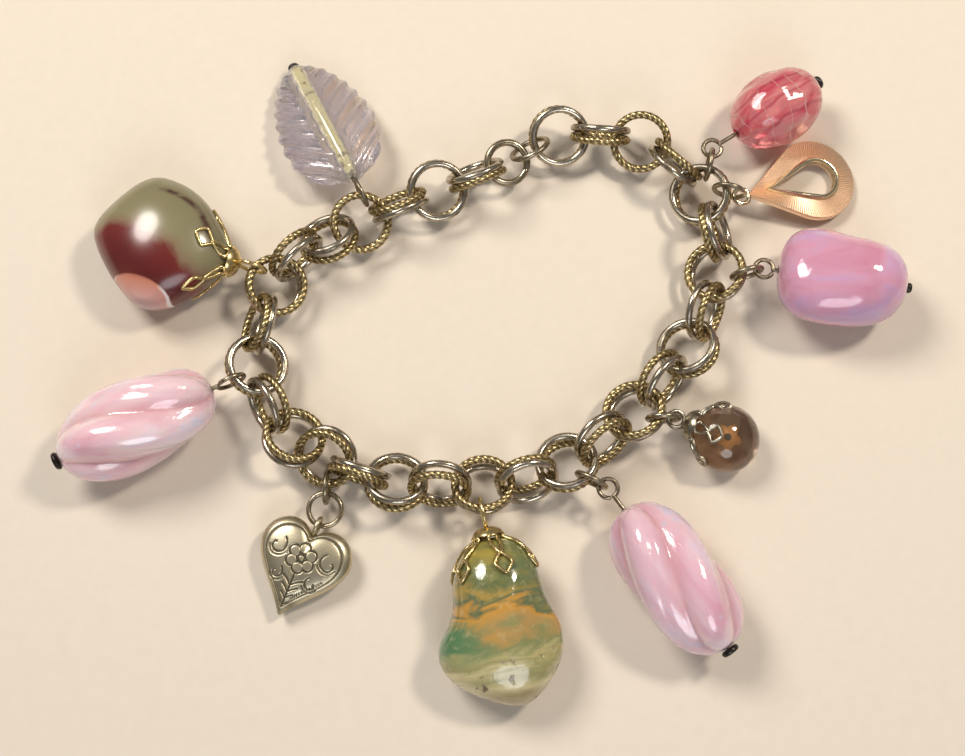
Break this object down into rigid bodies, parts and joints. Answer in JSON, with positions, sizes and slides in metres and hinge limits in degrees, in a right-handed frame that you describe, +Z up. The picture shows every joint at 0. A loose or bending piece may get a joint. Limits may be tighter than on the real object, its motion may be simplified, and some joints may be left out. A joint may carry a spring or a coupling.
{
  "type": "charm bracelet",
  "caption": "Double-link chain bracelet lying in an open loop, with drop charms of pressed glass, polished stone and cast metal on jump rings.",
  "frame": {"origin": "on the surface that the bracelet lies on, under the middle of its bounding box", "axes": "+X along the longest way across the bracelet and its charms, +Y the other way across, +Z up"},
  "size_m": [0.115, 0.0902, 0.0115],
  "materials": {
    "chain_metal": "antiqued and tarnished, polished on the high spots",
    "ring_metal": "antiqued, worn bright on the outside",
    "dark_pin": "blackened, satin",
    "cap_metal": "antique gold, dark in the pierced work",
    "heart_metal": "antique silvery brass, dark in the engraving",
    "plate_metal": "warm gold, brushed and engraved",
    "leaf_glass": "glossy opalescent pressed glass",
    "twist_glass": "glossy milky pressed glass with a faint iridescence",
    "nugget_glass": "glossy milky glass",
    "crackle_glass": "glossy glass, crackled inside",
    "smoky_glass": "glossy clear smoky glass",
    "agate": "polished, glassy, banded",
    "jasper": "polished, mottled green and cream"
  },
  "bodies": {
    "root": {"link_01": "chain_metal", "link_02": "chain_metal", "link_03": "chain_metal", "link_04": "chain_metal", "link_05": "chain_metal", "link_06": "chain_metal", "link_07": "chain_metal", "link_08": "chain_metal", "link_09": "chain_metal", "link_10": "chain_metal", "link_11": "chain_metal", "link_12": "chain_metal", "link_13": "chain_metal", "link_14": "chain_metal", "link_15": "chain_metal", "link_16": "chain_metal", "link_17": "chain_metal", "link_18": "chain_metal", "link_19": "chain_metal", "link_20": "chain_metal", "link_21": "chain_metal", "link_22": "chain_metal", "link_23": "chain_metal", "link_24": "chain_metal", "link_25": "chain_metal", "link_26": "chain_metal", "link_27": "chain_metal", "link_28": "chain_metal", "link_29": "chain_metal", "link_30": "chain_metal", "clasp_ring": "ring_metal", "end_ring": "ring_metal", "leaf_headpin": "dark_pin", "leaf_bead": "leaf_glass", "left_twist_headpin": "dark_pin", "left_twist_bead": "twist_glass", "right_twist_headpin": "dark_pin", "right_twist_bead": "twist_glass", "right_twist_jump_ring": "ring_metal", "nugget_headpin": "dark_pin", "nugget_bead": "nugget_glass", "nugget_jump_ring": "ring_metal", "crackle_headpin": "dark_pin", "crackle_bead": "crackle_glass", "crackle_jump_ring": "ring_metal", "agate_bell_cap": "cap_metal", "agate_stone": "agate", "jasper_bell_cap": "cap_metal", "jasper_stone": "jasper", "clear_bell_cap": "cap_metal", "clear_bead": "smoky_glass", "clear_jump_ring": "ring_metal", "heart_ring": "ring_metal", "heart_charm": "heart_metal", "heart_jump_ring": "ring_metal", "teardrop_plate": "plate_metal", "teardrop_jump_ring": "ring_metal"}
  },
  "joints": []
}
